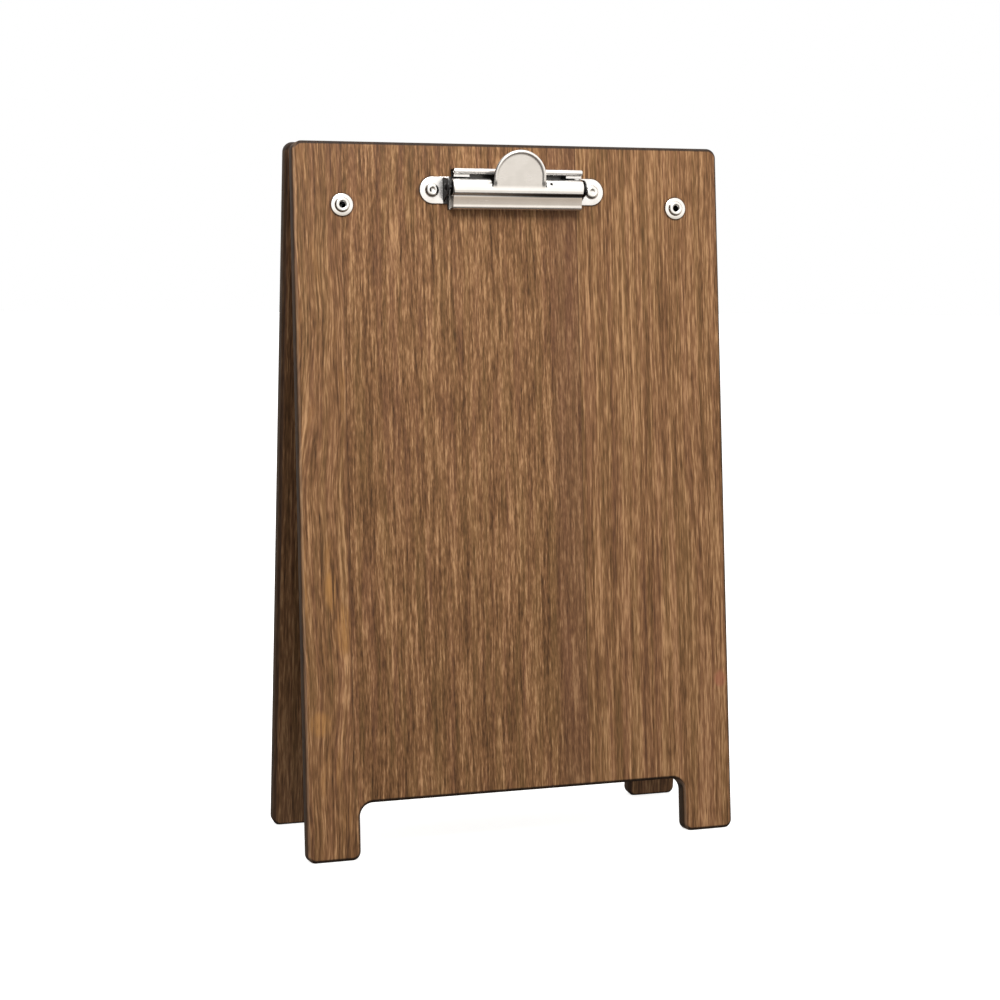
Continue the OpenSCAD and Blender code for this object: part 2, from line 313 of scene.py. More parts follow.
class Shader:
    """A material in the making. Each method adds a node and returns the socket it feeds."""

    def __init__(self, name):
        self.material = bpy.data.materials.new(name)
        self.material.use_nodes = True
        self.tree = self.material.node_tree
        self.surface = self.tree.nodes["Principled BSDF"]

    def give(self, socket, value):
        """Links the socket to another socket, or sets it to a value."""
        if isinstance(value, bpy.types.NodeSocket):
            self.tree.links.new(value, socket)
        else:
            socket.default_value = value

    def add(self, kind, inputs, out=0, **settings):
        node = self.tree.nodes.new("ShaderNode" + kind)
        for key, value in settings.items():
            setattr(node, key, value)
        for key, value in inputs.items():
            self.give(node.inputs[key], value)
        return node.outputs[out]

    def math(self, operation, *values):
        return self.add("Math", dict(enumerate(values)), operation=operation)

    def between(self, value, low, high):
        """0 below low, 1 above high, and smooth in between."""
        return self.add(
            "MapRange", {0: value, 1: low, 2: high, 3: 0.0, 4: 1.0}, interpolation_type="SMOOTHSTEP"
        )

    def inside_oval(self, x, z, middle_x, middle_z, wide, high, edge=(0.3, 1.6)):
        """1 inside an oval on a board's face and 0 outside it; sizes in millimetres."""
        across = self.math("DIVIDE", self.math("SUBTRACT", x, middle_x * MM), wide * MM)
        along = self.math("DIVIDE", self.math("SUBTRACT", z, middle_z * MM), high * MM)
        distance = self.math("ADD", self.math("POWER", across, 2.0), self.math("POWER", along, 2.0))
        return self.math("SUBTRACT", 1.0, self.between(distance, *edge))

    def noise(self, place, detail=2.0, roughness=0.5):
        inputs = {"Vector": place, "Scale": 1.0, "Detail": detail, "Roughness": roughness}
        return self.add("TexNoise", inputs)

    def stretch(self, place, scale, shift=(0.0, 0.0, 0.0)):
        """The place scaled along each axis and shifted, for noise with a direction."""
        return self.add("VectorMath", {0: place, 1: scale, 2: shift}, operation="MULTIPLY_ADD")

    def blend(self, factor, first, second, mode="MIX"):
        return self.add("MixRGB", {0: factor, 1: first, 2: second}, blend_type=mode)

    def ramp(self, value, stops):
        """A colour that changes with value; stops are (position, colour) pairs."""
        node = self.tree.nodes.new("ShaderNodeValToRGB")
        self.give(node.inputs[0], value)
        while len(node.color_ramp.elements) < len(stops):
            node.color_ramp.elements.new(0.5)
        for element, (position, colour) in zip(node.color_ramp.elements, stops):
            element.position = position
            element.color = colour
        return node.outputs[0]

    def bump(self, height, strength, distance):
        normal = self.add("Bump", {"Strength": strength, "Distance": distance, "Height": height})
        self.give(self.surface.inputs["Normal"], normal)

    def set(self, **values):
        for name, value in values.items():
            self.give(self.surface.inputs[name.replace("_", " ")], value)


def srgb(r, g, b):
    """A colour given as 0 to 255 display values, in linear light."""
    values = [c / 255 for c in (r, g, b)]
    return tuple(c / 12.92 if c <= 0.04045 else ((c + 0.055) / 1.055) ** 2.4 for c in values) + (1.0,)


OAK_TONES = [srgb(70, 46, 25), srgb(114, 78, 47), srgb(148, 106, 69), srgb(206, 158, 112)]
OAK_GOLD = srgb(186, 134, 78)
OAK_OLIVE = srgb(134, 104, 60)
OAK_PINK = srgb(146, 98, 74)
OAK_RUDDY = srgb(104, 68, 50)
OAK_RED = srgb(170, 104, 78)
OAK_PORE = srgb(60, 38, 22)
# Nearly black: the end grain's deep stain, and also painted shade
OAK_END_AND_SHADE = srgb(28, 20, 15)
# Dark for the sides; on the right side it is painted shade
OAK_SIDE = srgb(50, 35, 26)
# A pale tone for the painted highlight on the left arris
OAK_ARRIS_HIGHLIGHT = srgb(168, 138, 114)
FRONT_KNOTS = [(-97.0, -207.0, 4.0, 10.0), (-92.0, -226.0, 4.5, 12.0), (-104.5, -271.0, 5.0, 6.0)]
REAR_KNOTS = [(-84.0, -118.0, 4.0, 12.0), (-71.0, -240.0, 5.0, 9.0)]
FRONT_FLECKS = [(107.0, -261.0, 3.2, 4.2)]
# Where painted shade rings the wood round the washers and the ears: (x, z, radius)
SHADED_SPOTS = [(HINGE_X, LEAF_RIVET, WASHER_R), (EAR_X, ROD_Z + EAR_U, EAR_R)]


def oak(name, seams, cut_from, knots, flecks):
    """Brown stained oak glued up from three staves, grain along Z, end grain nearly black."""
    s = Shader(name)
    place = s.add("TexCoord", {}, out="Object")
    apart = s.add("SeparateXYZ", {0: place})
    x, y, z = apart.node.outputs
    first = s.math("GREATER_THAN", x, seams[0])
    second = s.math("GREATER_THAN", x, seams[1])
    middle = s.math("SUBTRACT", first, second)
    stave = s.math("ADD", first, second)
    jump = s.math("MULTIPLY_ADD", stave, STAVE_STEP, cut_from)
    wild = s.math("SUBTRACT", 1.0, first)

    # The grain sways slowly, most of all in the first stave, and the middle one's is shorter
    slow = s.add("CombineXYZ", {0: s.math("MULTIPLY", x, 16.0), 1: jump, 2: s.math("MULTIPLY", z, 9.0)})
    sway = s.math("SUBTRACT", s.noise(slow, detail=1.5), 0.5)
    reach = s.math("MULTIPLY_ADD", wild, 0.014, 0.003)
    grain_x = s.math("MULTIPLY_ADD", sway, reach, x)
    shorter = s.math("MULTIPLY_ADD", middle, 0.7, 1.0)
    grain = s.add("CombineXYZ", {0: grain_x, 1: s.math("ADD", y, jump), 2: s.math("MULTIPLY", z, shorter)})

    rings = s.noise(s.stretch(grain, (230.0, 60.0, 4.0)), detail=2.0, roughness=0.6)
    streaks = s.noise(s.stretch(grain, (820.0, 300.0, 22.0)), detail=2.5, roughness=0.62)
    dashes = s.noise(s.stretch(grain, (1350.0, 500.0, 110.0)), detail=2.0, roughness=0.6)
    pores = s.noise(s.stretch(grain, (2600.0, 900.0, 120.0)), detail=1.0)
    patches = s.noise(s.stretch(grain, (26.0, 26.0, 9.0)), detail=1.0)

    tone = s.math("MULTIPLY_ADD", second, 0.045, s.math("MULTIPLY_ADD", middle, 0.015, 0.505))
    tone = s.math("MULTIPLY_ADD", s.math("SUBTRACT", rings, 0.5), 0.6, tone)
    tone = s.math("MULTIPLY_ADD", s.math("SUBTRACT", streaks, 0.5), 1.2, tone)
    tone = s.math("MULTIPLY_ADD", s.math("SUBTRACT", dashes, 0.5), 1.1, tone)
    tone = s.math("MULTIPLY_ADD", s.math("SUBTRACT", patches, 0.5), 0.15, tone)
    colour = s.ramp(tone, [
        (0.12, OAK_TONES[0]), (0.38, OAK_TONES[1]), (0.6, OAK_TONES[2]), (0.9, OAK_TONES[3]),
    ])

    # The hue drifts between ruddy and olive from streak to streak
    hue = s.noise(s.stretch(grain, (330.0, 60.0, 9.0), (3.0, 0.0, 0.0)), detail=1.5)
    other_hue = s.math("SUBTRACT", 1.0, hue)
    colour = s.blend(s.math("MULTIPLY", s.between(hue, 0.5, 0.68), 0.22), colour, OAK_OLIVE)
    colour = s.blend(s.math("MULTIPLY", s.between(other_hue, 0.5, 0.68), 0.2), colour, OAK_PINK)

    # A lighter golden figure in the first stave, a ruddy band beside the second seam, red flecks
    figure = s.noise(s.stretch(grain, (190.0, 60.0, 26.0), (0.0, 4.0, 0.0)), detail=1.0)
    golden = s.math("MULTIPLY", s.between(figure, 0.6, 0.75), 0.4)
    for knot in knots:
        golden = s.math("MULTIPLY_ADD", s.inside_oval(x, z, *knot), 0.75, golden)
    golden = s.math("MULTIPLY", golden, s.math("MULTIPLY_ADD", wild, 0.85, 0.08))
    golden = s.math("MULTIPLY", golden, s.between(streaks, 0.35, 0.6))
    colour = s.blend(golden, colour, OAK_GOLD)
    band = s.between(x, seams[1] - 0.018, seams[1] - 0.011)
    band = s.math("MULTIPLY", band, s.math("SUBTRACT", 1.0, second))
    colour = s.blend(s.math("MULTIPLY", band, 0.35), colour, OAK_RUDDY)

    for fleck in flecks:
        colour = s.blend(s.math("MULTIPLY", s.inside_oval(x, z, *fleck), 0.65), colour, OAK_RED)

    # Open pores and the glue lines
    pore = s.between(pores, 0.62, 0.74)
    colour = s.blend(s.math("MULTIPLY", pore, 0.5), colour, OAK_PORE)
    for seam in seams:
        away = s.math("ABSOLUTE", s.math("SUBTRACT", x, seam))
        line = s.math("SUBTRACT", 1.0, s.between(away, 0.1 * MM, 0.5 * MM))
        colour = s.blend(s.math("MULTIPLY", line, 0.4), colour, OAK_PORE)

    # Painted shade in a ring round the washers and the clip's ears
    for spot_x, spot_z, r in SHADED_SPOTS:
        away = s.math("SUBTRACT", s.math("ABSOLUTE", x), spot_x * MM)
        away = s.math("POWER", away, 2.0)
        up = s.math("POWER", s.math("SUBTRACT", z, spot_z * MM), 2.0)
        ring = s.math("SQRT", s.math("ADD", away, up))
        ring_shade = s.math("SUBTRACT", 1.0, s.between(ring, (r - 0.2) * MM, (r + 1.1) * MM))
        colour = s.blend(s.math("MULTIPLY", ring_shade, 0.75), colour, OAK_END_AND_SHADE)

    # Stain sinks in deep on end grain and the sides are darker; painted shade darkens the inner faces and
    # the right side, and a painted highlight lightens the left arris
    normal = s.add("SeparateXYZ", {0: s.add("TexCoord", {}, out="Normal")})
    side, facing, end = normal.node.outputs
    end_grain = s.between(s.math("ABSOLUTE", end), 0.08, 0.36)
    left = s.math("MULTIPLY", side, -1.0)
    long_side = s.math("MAXIMUM", s.between(left, 0.75, 0.97), s.between(side, 0.12, 0.5))
    # Painted shade darkens the inner faces, which look into the gap between the boards
    colour = s.blend(s.math("MULTIPLY", s.between(facing, 0.3, 0.9), 0.39), colour, OAK_END_AND_SHADE)
    colour = s.blend(s.math("MULTIPLY", end_grain, 0.92), colour, OAK_END_AND_SHADE)
    # Both sides darker: the left side face, and the right side from well round its rounding, which is
    # painted shade on the side away from the light
    colour = s.blend(s.math("MULTIPLY", long_side, 0.8), colour, OAK_SIDE)
    # Painted highlight: a pale line along the left arris, where the light catches the rounding
    arris_highlight = s.math("MULTIPLY", s.between(left, 0.3, 0.5), s.math("SUBTRACT", 1.0, long_side))
    colour = s.blend(s.math("MULTIPLY", arris_highlight, 0.3), colour, OAK_ARRIS_HIGHLIGHT)

    rough = s.math("MULTIPLY_ADD", streaks, 0.18, 0.45)
    s.set(Base_Color=colour, Roughness=s.math("MULTIPLY_ADD", pore, 0.2, rough), Specular_IOR_Level=0.22)
    relief = s.math("SUBTRACT", s.math("MULTIPLY", dashes, 0.5), pore)
    s.bump(relief, 0.35, 0.00012)
    return s.material


# Near black for painted shade on the plated parts
SHADE_BLACK = srgb(14, 12, 11)
# A warm grey for the painted reflection of the wood on the jaw's lip
LIP_REFLECTION = srgb(186, 170, 152)


def plated(
    name, tint, rough, mottle, bump, shaded_ends=0.0, slots=None, crease=None, bore=None, metallic=1.0
):
    """Nickel or zinc plate, faintly scratched.

    Faces square to X are darkened by the given fraction, as painted shade. Painted shade also darkens
    the slots, a (from, to) distance from the middle, and the crease, a (from, to) height, more towards the
    right, with a painted reflection of the wood on the lip below it. It also blackens the bore, a hole
    of (x, z, radius) on each side, as painted shade.
    """
    s = Shader(name)
    place = s.add("TexCoord", {}, out="Object")
    cloud = s.noise(s.stretch(place, (140.0, 140.0, 140.0)), detail=3.0)
    drawn = s.noise(s.stretch(place, (90.0, 1500.0, 1500.0)), detail=2.0)
    darker = tuple(c * (1 - mottle) for c in tint[:3]) + (1.0,)
    colour = s.blend(s.between(cloud, 0.35, 0.65), darker, tint)
    roughness = s.math("MULTIPLY_ADD", s.math("ADD", cloud, drawn), rough * 0.45, rough * 0.55)
    if shaded_ends:
        across = s.add("SeparateXYZ", {0: s.add("TexCoord", {}, out="Normal")})
        # Painted shade on faces square to X
        end = s.between(s.math("ABSOLUTE", across), 0.86, 0.97)
        end = s.math("MULTIPLY", end, shaded_ends)
        colour = s.blend(end, colour, SHADE_BLACK)
        roughness = s.math("MULTIPLY_ADD", end, 0.3, roughness)
    x, y, z = s.add("SeparateXYZ", {0: place}).node.outputs
    if slots:
        # Painted shade in the slots beside the jaw, and under the jaw between the lugs
        distance = s.math("ABSOLUTE", x)
        inner = s.between(distance, (slots[0] - 0.25) * MM, slots[0] * MM)
        outer = s.between(distance, slots[1] * MM, (slots[1] + 0.2) * MM)
        low = s.math("SUBTRACT", 1.0, s.between(z, (ROD_Z + 4.6) * MM, (ROD_Z + 5.2) * MM))
        dark = s.math("MULTIPLY", s.math("MULTIPLY", s.math("SUBTRACT", inner, outer), low), 0.96)
        colour = s.blend(dark, colour, SHADE_BLACK)
        deep = s.between(y, -(OUTER + 3) * MM, -(OUTER + 2) * MM)
        under = s.between(z, (ROD_Z + 1) * MM, (ROD_Z + 2) * MM)
        between_lugs = s.math("SUBTRACT", 1.0, s.between(distance, (slots[0] - 0.6) * MM, slots[0] * MM))
        under = s.math("MULTIPLY", under, between_lugs)
        colour = s.blend(s.math("MULTIPLY", s.math("MULTIPLY", deep, under), 0.92), colour, SHADE_BLACK)
    if crease:
        # Painted shade in the crease, stronger towards the right
        bottom = s.between(z, (crease[0] - 0.5) * MM, crease[0] * MM)
        top = s.between(z, crease[1] * MM, (crease[1] + 0.35) * MM)
        share = s.math("MULTIPLY_ADD", s.between(x, -0.03, 0.02), 0.75, 0.2)
        dark = s.math("MULTIPLY", s.math("SUBTRACT", bottom, top), share)
        # Painted reflection of the wood on the lip below the crease
        lip = s.math("SUBTRACT", 1.0, s.between(z, (crease[0] - 0.2) * MM, crease[0] * MM))
        near = s.math("MULTIPLY_ADD", s.between(z, (crease[0] - 5.5) * MM, crease[0] * MM), 0.45, 0.25)
        colour = s.blend(s.math("MULTIPLY", lip, near), colour, LIP_REFLECTION)
        colour = s.blend(dark, colour, SHADE_BLACK)
    if bore:
        # Painted shade blackens the inside of the bore
        inside = s.inside_oval(s.math("ABSOLUTE", x), z, *bore, bore[2], edge=(1.0, 1.25))
        colour = s.blend(s.math("MULTIPLY", inside, 0.97), colour, SHADE_BLACK)
    s.set(Base_Color=colour, Metallic=metallic, Roughness=roughness)
    s.bump(s.math("MULTIPLY_ADD", drawn, 0.4, cloud), bump, 0.00005)
    return s.material


OAK = {
    "front": oak("oak_front", FRONT_SEAMS, FRONT_PLACE, FRONT_KNOTS, FRONT_FLECKS),
    "rear": oak("oak_rear", REAR_SEAMS, REAR_PLACE, REAR_KNOTS, []),
}
NICKEL_TINT = srgb(240, 237, 233)
# The number after the bump strength is the painted shade on faces square to X
BASE_NICKEL = plated("base_nickel", NICKEL_TINT, 0.26, 0.05, 0.25, 0.97, slots=(33.6, 36.5), metallic=0.7)
JAW_NICKEL = plated(
    "jaw_nickel", NICKEL_TINT, 0.24, 0.05, 0.25, 0.97, crease=(ROD_Z - 4.6, ROD_Z - 3.4), metallic=0.8
)
RIVET_NICKEL = plated(
    "rivet_nickel", srgb(228, 226, 222), 0.18, 0.06, 0.2, bore=(HINGE_X, LEAF_RIVET, HINGE_BORE_R)
)
HINGE_ZINC = plated("hinge_zinc", srgb(196, 196, 198), 0.38, 0.16, 0.4)
ROD_STEEL = plated("rod_steel", srgb(70, 70, 72), 0.36, 0.12, 0.3, 0.9)
SPRING_STEEL = plated("spring_steel", srgb(150, 150, 152), 0.3, 0.12, 0.3, 0.9)


def finish_piece(made, side, body, slot, material, *nodes):
    """Puts a piece modelled in a board's frame, in millimetres, on its body and in place of its nodes."""
    made.data.transform(Matrix.Scale(MM, 4))
    made.data.materials.clear()
    made.data.materials.append(material)
    made.data.shade_smooth()
    made.data.set_sharp_from_angle(angle=math.radians(38))
    made.matrix_world = FRAMES[side]
    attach(made, body)
    if nodes:
        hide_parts(*nodes)
    return made


# ---------------------------------------------------------------- boards

def board_outline():
    """The board from below, anticlockwise: feet, arch, sides and rounded corners."""
    half = BOARD_W / 2
    arch = half - LEG_W
    low, top, crown = BOARD_LOW, FOLD_DROP, BOARD_LOW + ARCH_H
    points = []
    points += arc(-half + FOOT_R, low + FOOT_R, FOOT_R, 180, 270, 8)
    points += arc(-arch - FOOT_R, low + FOOT_R, FOOT_R, 270, 360, 8)
    points += arc(-arch + ARCH_R, crown - ARCH_R, ARCH_R, 180, 90, 8)
    points += arc(arch - ARCH_R, crown - ARCH_R, ARCH_R, 90, 0, 8)
    points += arc(arch + FOOT_R, low + FOOT_R, FOOT_R, 180, 270, 8)
    points += arc(half - FOOT_R, low + FOOT_R, FOOT_R, 270, 360, 8)
    points += arc(half - CORNER_R, top - CORNER_R, CORNER_R, 0, 90, 10)
    points += arc(-half + CORNER_R, top - CORNER_R, CORNER_R, 90, 180, 10)
    return points


def trim_to_table(made):
    """Cuts off what is under the table top, so that the feet stand flat."""
    to_world = Matrix.Translation(fold_at / MM) @ Matrix.Rotation(-LEAN, 4, "X")
    to_board = to_world.inverted()
    bm = bmesh.new()
    bm.from_mesh(made.data)
    origin = to_board @ Vector((0, 0, 0))
    up = to_board.to_3x3() @ Vector((0, 0, 1))
    everything = bm.verts[:] + bm.edges[:] + bm.faces[:]
    bmesh.ops.bisect_plane(bm, geom=everything, plane_co=origin, plane_no=up, clear_inner=True)
    open_edges = [e for e in bm.edges if e.is_boundary]
    bmesh.ops.holes_fill(bm, edges=open_edges)
    bmesh.ops.recalc_face_normals(bm, faces=bm.faces)
    bm.to_mesh(made.data)
    bm.free()


def make_board(side):
    place = lambda a, b, depth: Vector((a, -OUTER + depth, b))
    made = plate(side + "_oak_board", board_outline(), BOARD_T, place, BOARD_EASE, 5)
    trim_to_table(made)
    holes = [(x, LEAF_RIVET, HINGE_SHANK_R) for x in (-HINGE_X, HINGE_X)]
    holes += [(x, ROD_Z + EAR_U, CLIP_SHANK_R) for x in (-RIVET_X, RIVET_X)]
    for x, z, r in holes:
        profile = [(0.0, -2 * BOARD_T), (r, -2 * BOARD_T), (r, BOARD_T), (0.0, BOARD_T)]
        combine(made, lathe("drill", profile, on_face(x, z), 32), "DIFFERENCE")
    finish_piece(made, side, side + "_panel", "oak", OAK[side], side + "_board")


# ---------------------------------------------------------------- clips

def jaw_section():
    """The jaw in (u, h), on the outer side of the sheet: flat from the crown, a crease, then the lip."""
    crown = [(u, ROD_H + BARREL_R + 0.06 * u) for u in (0.0, -0.8, -1.6, -2.3)]
    shoulder = arc(-2.55, 8.4, 1.0, 84, 160, 6)
    crease = arc(-4.6, 8.3, 0.75, 335, 262, 6)
    bend_u, bend_h, bend_r = -9.4, 5.1, 1.4
    bend = arc(bend_u, bend_h, bend_r, 74, 180, 6)
    lip = [tuple(Vector(crease[-1]).lerp(Vector(bend[0]), t)) for t in spread(0, 1, 6)][1:-1]
    edge = [(bend_u - bend_r, h) for h in spread(bend_h, 1.1, 4)][1:]
    return crown + shoulder + crease + lip + bend + edge


def lever_rim(inset, along):
    """Height of the lever's rolled rim over its face, at this distance in from its edge."""
    across = max(0.0, 1 - ((inset - RIM_W / 2) / (RIM_W / 2)) ** 2)
    return RIM_H * math.sqrt(across) * smooth(0.2, 3.2, along)


def lever_insets():
    """Distances in from the lever's edge, close together over its rolled rim."""
    rolled = [0.0, 0.12, 0.35, 0.7, 1.0, 1.3, 1.65, 1.88, RIM_W]
    return rolled + [2.6, 4.0, 6.5, 9.5, 12.0, LEVER_R]


def lever_point(x, along, rise):
    """A point on the lever, from its place across, how far up its face it is and its rise off it."""
    tilt_c, tilt_s = math.cos(LEVER_TILT), math.sin(LEVER_TILT)
    u = along * tilt_c - rise * tilt_s
    h = ROD_H + BARREL_R + along * tilt_s + rise * tilt_c
    return clip_point(x, u, h)


def lever_rows():
    """The lever's face as rows that follow its outline, from the edge in to its middle line."""
    rows = []
    for inset in lever_insets():
        r = LEVER_R - inset
        row = []
        for along in spread(0, LEVER_STRAIGHT, 6)[:-1]:
            row.append(lever_point(-r, along, lever_rim(inset, along)))
        for a in spread(180, 0, 36):
            x = r * math.cos(math.radians(a))
            along = LEVER_STRAIGHT + r * math.sin(math.radians(a))
            row.append(lever_point(x, along, lever_rim(inset, along)))
        for along in spread(LEVER_STRAIGHT, 0, 6)[1:]:
            row.append(lever_point(r, along, lever_rim(inset, along)))
        rows.append(row)
    return rows


def make_jaw(side):
    centre = sorted(set(x for inset in lever_insets() for x in (LEVER_R - inset, inset - LEVER_R)))
    wing = spread(LEVER_R + LEVER_NOTCH, JAW_HALF - SHEET_T * 0.5, 6)
    columns = [-x for x in reversed(wing)] + centre + wing
    bm = bmesh.new()
    add_grid(bm, [[clip_point(x, u, h) for x in columns] for u, h in jaw_section()])
    upper = arc(0, ROD_H, BARREL_R, 15, 90, 14)
    for xs in ([-x for x in reversed(wing)], wing):
        add_grid(bm, [[clip_point(x, u, h) for x in xs] for u, h in upper])
    add_grid(bm, lever_rows())
    weld(bm)
    bmesh.ops.recalc_face_normals(bm, faces=bm.faces)
    crown = max(bm.faces, key=lambda f: -f.calc_center_median().y)
    if crown.normal.y > 0:
        bmesh.ops.reverse_faces(bm, faces=bm.faces)
    made = to_object(bm, side + "_jaw_sheet")
    thicken(made, SHEET_T)
    ease_edges(made, 0.18, 2, 60)
    cheek = arc(0, ROD_H, BARREL_R - 0.1, 15, 215, 28)
    for end in (-1, 1):
        place = lambda u, h, depth: clip_point(end * (JAW_HALF - depth), u, h)
        combine(made, plate("cheek", cheek, SHEET_T, place, 0.2), "UNION")
    hook = [(0.0, ROD_H), (0.75, ROD_H), (0.75, 3 * BARREL_R), (0.0, 3 * BARREL_R)]
    combine(made, lathe("hook_hole", hook, on_face(HOOK_HOLE[0], ROD_Z + HOOK_HOLE[1]), 24), "DIFFERENCE")
    made.data.transform(Matrix.Translation((JAW_X, 0, 0)))
    finish_piece(made, side, side + "_jaw", "clip_nickel", JAW_NICKEL, side + "_clip_jaw")


def base_outline():
    """The base plate flat on the board, in (x, u)."""
    top = BEAD_AT[0] + BEAD_R - 0.4
    points = []
    points += arc(-EAR_X, EAR_U, EAR_R, 90, 270, 24)
    points += [(-JAW_HALF, EAR_U - EAR_R), (-JAW_HALF, BASE_LOW)]
    points += [(JAW_HALF, BASE_LOW), (JAW_HALF, EAR_U - EAR_R)]
    points += arc(EAR_X, EAR_U, EAR_R, -90, 90, 24)
    left, right = FLANGE_X - FLANGE_HALF, FLANGE_X + FLANGE_HALF
    points += [(right, EAR_U + EAR_R), (right, top), (left, top), (left, EAR_U + EAR_R)]
    return points


def flange_section():
    """The flange and its rolled bead in (u, h), on the outer side of the sheet."""
    u, h = BEAD_AT
    foot = [(u + BEAD_R - 1.2, 0.02), (u + BEAD_R - 0.6, 0.05), (u + BEAD_R - 0.12, 0.45)]
    web = [(u + BEAD_R, t) for t in spread(1.0, h, 4)]
    return foot + web + arc(u, h, BEAD_R, 0, 300, 30)[1:]


def make_base(side):
    place = lambda x, u, depth: clip_point(x, u, depth)
    made = plate(side + "_base_plate", base_outline(), BASE_T, place, 0.22)
    bm = bmesh.new()
    xs = spread(FLANGE_X - FLANGE_HALF, FLANGE_X + FLANGE_HALF, 12)
    add_grid(bm, [[clip_point(x, u, h) for x in xs] for u, h in flange_section()])
    flange = ease_edges(thicken(orient(bm, "flange"), BASE_T), 0.15, 2, 60)
    parts = [made, flange]
    low, high = EAR_U - EAR_R + 0.6, EAR_U + EAR_R
    lug = [(high, 0.1)] + arc(0, ROD_H, LUG_CROWN_R, 0, 180, 24) + [(low, 0.1)]
    for end in (-1, 1):
        stand = lambda u, h, depth: clip_point(end * (LUG_X - depth), u, h)
        parts.append(plate("lug", lug, BASE_T, stand, 0.2))
        tab = lambda x, u, depth: clip_point(x, u, SHOULDER_H + depth - SHOULDER_SAG * (u - 5.2) ** 2)
        outer = FLANGE_X + end * (FLANGE_HALF - 0.1)
        inner = outer - end * SHOULDER_LEN
        low_u, high_u = SHOULDER_U
        shoulder = [(inner, low_u), (outer, low_u), (outer, high_u), (inner, high_u)]
        parts.append(plate("shoulder", shoulder, BASE_T + 0.2, tab, 0.2))
    join_all(parts)
    for x in (-RIVET_X, RIVET_X):
        hole = [(0.0, -1.0), (CLIP_SHANK_R, -1.0), (CLIP_SHANK_R, 2.0), (0.0, 2.0)]
        combine(made, lathe("drill", hole, on_face(x, ROD_Z + EAR_U), 32), "DIFFERENCE")
    finish_piece(made, side, side + "_panel", "clip_nickel", BASE_NICKEL, side + "_clip_base")


def orient(bm, name):
    """Makes an open sheet's normals agree, with the first face looking towards the board."""
    bmesh.ops.recalc_face_normals(bm, faces=bm.faces)
    bm.faces.ensure_lookup_table()
    if bm.faces[0].normal.y < 0:
        bmesh.ops.reverse_faces(bm, faces=bm.faces)
    return to_object(bm, name)


def across_clip(along, b, c):
    """Place function along a clip's rod: height runs along X."""
    return clip_point(c, along, ROD_H + b)


def make_rod(side):
    """The pivot rod, with a domed head past each lug."""
    end = LUG_X
    head = [(1.3, 0.0), (1.75, 0.0), (1.8, 0.15), (1.6, 0.42), (1.1, 0.58), (0.0, 0.62)]
    head = [(r, end + rise) for r, rise in head]
    profile = [(r, -z) for r, z in reversed(head)] + [(ROD_R, -end), (ROD_R, end)] + head
    made = lathe(side + "_pivot_rod", profile, across_clip, 32)
    finish_piece(made, side, side + "_panel", "spring_steel", ROD_STEEL, side + "_clip_rod")


def tangent_angle(target, turn):
    """Where a straight leg to target leaves the coil, as an angle in the (u, h) plane."""
    return math.atan2(target[1], target[0]) + turn * math.acos(COIL_R / math.hypot(*target))


def make_spring(side):
    """The coil with the leg that presses on the base, and apart from it the leg that rides with the jaw."""
    wound = COIL_LEN - 2 * WIRE_R
    base_end = (-5.3, BASE_T + WIRE_R + 0.08 - ROD_H)
    lever_u = 5.6
    lever_end = (lever_u, BARREL_R - SHEET_T + lever_u * math.tan(LEVER_TILT) - WIRE_R - 0.12)
    start = tangent_angle(base_end, 1)
    finish = tangent_angle(lever_end, 1) + 2 * math.pi
    total = finish - start - 2 * math.pi * COIL_TURNS
    steps = COIL_TURNS * 20
    path = [clip_point(-wound / 2, base_end[0], ROD_H + base_end[1])]
    for i in range(steps + 1):
        a = start + total * i / steps
        x = -wound / 2 + wound * i / steps
        path.append(clip_point(x, COIL_R * math.cos(a), ROD_H + COIL_R * math.sin(a)))
    coil = tube(side + "_spring_coil", path, WIRE_R, 8)
    leave = tangent_angle(lever_end, 1)
    hook = [(COIL_R * math.cos(leave + t), COIL_R * math.sin(leave + t)) for t in spread(-0.5, 0, 4)]
    straight = [tuple(Vector(hook[-1]).lerp(Vector(lever_end), t)) for t in spread(0, 1, 6)][1:]
    arm_path = [clip_point(wound / 2, u, ROD_H + h) for u, h in hook + straight]
    arm = tube(side + "_spring_arm", arm_path, WIRE_R, 10)
    finish_piece(coil, side, side + "_panel", "spring_steel", SPRING_STEEL, side + "_clip_spring")
    finish_piece(arm, side, side + "_jaw", "spring_steel", SPRING_STEEL)


# ---------------------------------------------------------------- rivets and washers

def pair(name, profile, x, z, segments=48):
    """The same round part on both sides of a board's middle, as one piece."""
    left = lathe(name, profile, on_face(-x, z), segments)
    right = lathe(name + "_right", profile, on_face(x, z), segments)
    bm = bmesh.new()
    bm.from_mesh(left.data)
    bm.from_mesh(right.data)
    for old in (left, right):
        bpy.data.objects.remove(old)
    return to_object(bm, name)


def clip_rivet_profile():
    """A rivet with a dimpled dome over the ear, set over a washer behind the board."""
    back = -BOARD_T - 0.6
    return [
        (0.0, BASE_T + 0.95), (0.55, BASE_T + 0.98), (1.0, BASE_T + 1.15), (1.35, BASE_T + 1.42),
        (1.75, BASE_T + 1.58), (2.2, BASE_T + 1.55), (2.75, BASE_T + 1.32), (3.2, BASE_T + 0.95),
        (3.5, BASE_T + 0.5), (3.6, BASE_T + 0.12), (3.52, BASE_T), (CLIP_SHANK_R, BASE_T),
        (CLIP_SHANK_R, back), (2.3, back), (2.6, back - 0.2), (2.55, back - 0.5), (2.2, back - 0.7),
        (1.2, back - 0.68), (0.8, back - 0.45), (0.0, back - 0.4),
    ]


